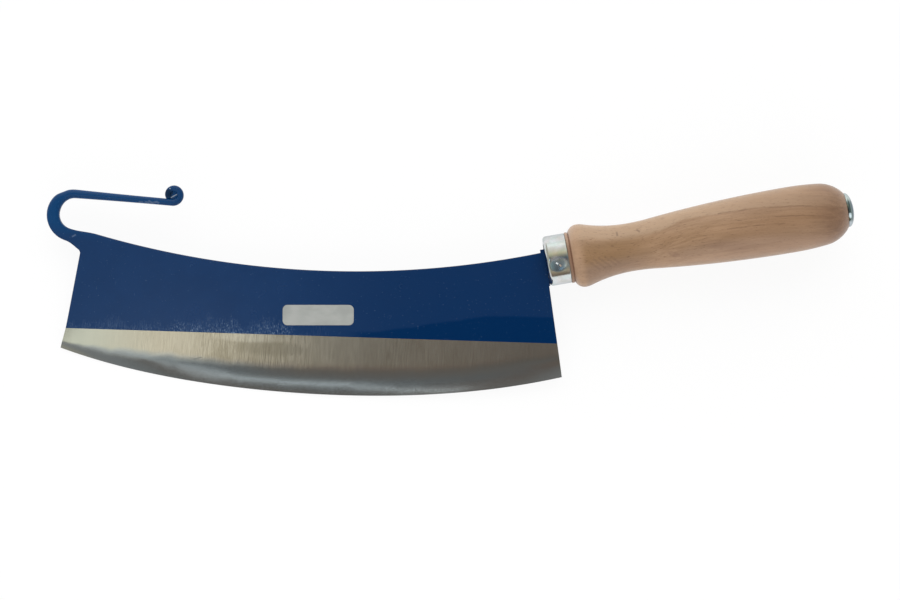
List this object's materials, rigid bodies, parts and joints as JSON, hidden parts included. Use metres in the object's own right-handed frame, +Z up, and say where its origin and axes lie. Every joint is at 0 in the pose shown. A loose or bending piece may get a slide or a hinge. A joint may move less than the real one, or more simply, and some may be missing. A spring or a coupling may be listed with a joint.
{
  "type": "billhook",
  "caption": "Billhook with a bowed ground edge, a carrying hook rolled back from the blade's toe, and a turned wooden handle held by a ferrule and a riveted butt cap.",
  "frame": {"origin": "on the table, under the middle of the tool's box as it lies on its side at rest", "axes": "+X along the tool from the hook to the butt, +Y across it from the cutting edge to the spine, +Z up from the table"},
  "size_m": [0.385, 0.1134, 0.0366],
  "materials": {
    "lacquer": "satin blue lacquer, left off the ground bevels",
    "ground_steel": "bare ground steel of the bevels",
    "zinc": "bright zinc plate",
    "beech": "oiled beech",
    "label": "bare silver-white sticker"
  },
  "bodies": {
    "root": {"blade": "lacquer", "ferrule": "zinc", "handle": "beech", "butt_cap": "zinc"}
  },
  "joints": []
}
